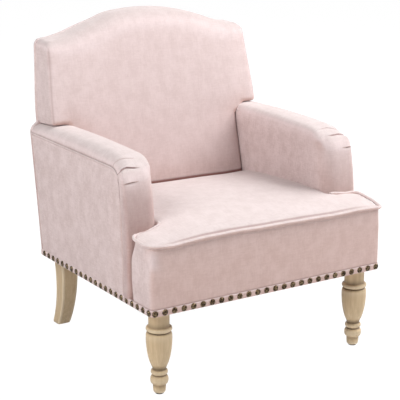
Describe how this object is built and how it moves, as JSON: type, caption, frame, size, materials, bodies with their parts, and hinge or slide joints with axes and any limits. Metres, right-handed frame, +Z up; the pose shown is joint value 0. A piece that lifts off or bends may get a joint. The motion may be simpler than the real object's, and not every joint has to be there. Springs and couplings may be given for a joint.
{
  "type": "upholstered armchair",
  "caption": "Upholstered armchair with a camel back, tight T-shaped seat, rounded arms, nailhead trim, turned front legs and swept square rear legs.",
  "frame": {"origin": "on the floor under the centre of the chair's overall box", "axes": "+Z up; the chair faces -Y, so +Y runs from the seat front to the back; +X is the right-hand side seen from the front, and pieces named right are on +X"},
  "size_m": [0.6692, 0.6586, 0.8235],
  "materials": {
    "seat_fabric": "short-pile blush pink upholstery fabric with a fine mottled weave",
    "welt_fabric": "the same fabric wrapped over piping cord",
    "trim_fabric": "the same fabric folded into a narrow band",
    "foam": "polyurethane foam and polyester wadding",
    "felt": "non-woven felt",
    "webbing": "woven elastic webbing",
    "dust_cloth": "black non-woven cloth",
    "frame_wood": "sawn hardwood",
    "leg_wood": "weathered oak with a brushed grey-tan wash",
    "fibreboard": "thin fibreboard",
    "spring_steel": "drawn spring wire",
    "hardware_steel": "zinc plated",
    "nail_bronze": "antique bronze nailheads",
    "glide_plastic": "moulded furniture glide"
  },
  "bodies": {
    "root": {"back_cover": "seat_fabric", "back_foam": "foam", "back_lower_rail": "frame_wood", "back_top_rail": "frame_wood", "back_webbing": "webbing", "corner_block_screws": "hardware_steel", "corner_blocks": "frame_wood", "dust_cover": "dust_cloth", "front_border_pad": "foam", "front_nail_trim": "trim_fabric", "front_nailheads": "nail_bronze", "front_rail": "frame_wood", "hanger_bolts": "hardware_steel", "left_arm_cover": "seat_fabric", "left_arm_pad": "foam", "left_arm_post": "frame_wood", "left_arm_top_rail": "frame_wood", "left_arm_welt": "welt_fabric", "left_back_post": "frame_wood", "left_front_leg": "leg_wood", "left_nail_trim": "trim_fabric", "left_nailheads": "nail_bronze", "left_outside_arm_panel": "seat_fabric", "left_rear_leg": "leg_wood", "left_side_board": "fibreboard", "left_side_rail": "frame_wood", "leg_glides": "glide_plastic", "leg_plates": "hardware_steel", "outside_back_panel": "seat_fabric", "rear_rail": "frame_wood", "right_arm_cover": "seat_fabric", "right_arm_pad": "foam", "right_arm_post": "frame_wood", "right_arm_top_rail": "frame_wood", "right_arm_welt": "welt_fabric", "right_back_post": "frame_wood", "right_front_leg": "leg_wood", "right_nail_trim": "trim_fabric", "right_nailheads": "nail_bronze", "right_outside_arm_panel": "seat_fabric", "right_rear_leg": "leg_wood", "right_side_board": "fibreboard", "right_side_rail": "frame_wood", "seat_foam": "foam", "seat_front_band": "seat_fabric", "seat_springs": "spring_steel", "seat_top_cover": "seat_fabric", "seat_welt": "welt_fabric", "spring_clips": "hardware_steel", "spring_felt": "felt", "threaded_inserts": "hardware_steel"}
  },
  "joints": []
}
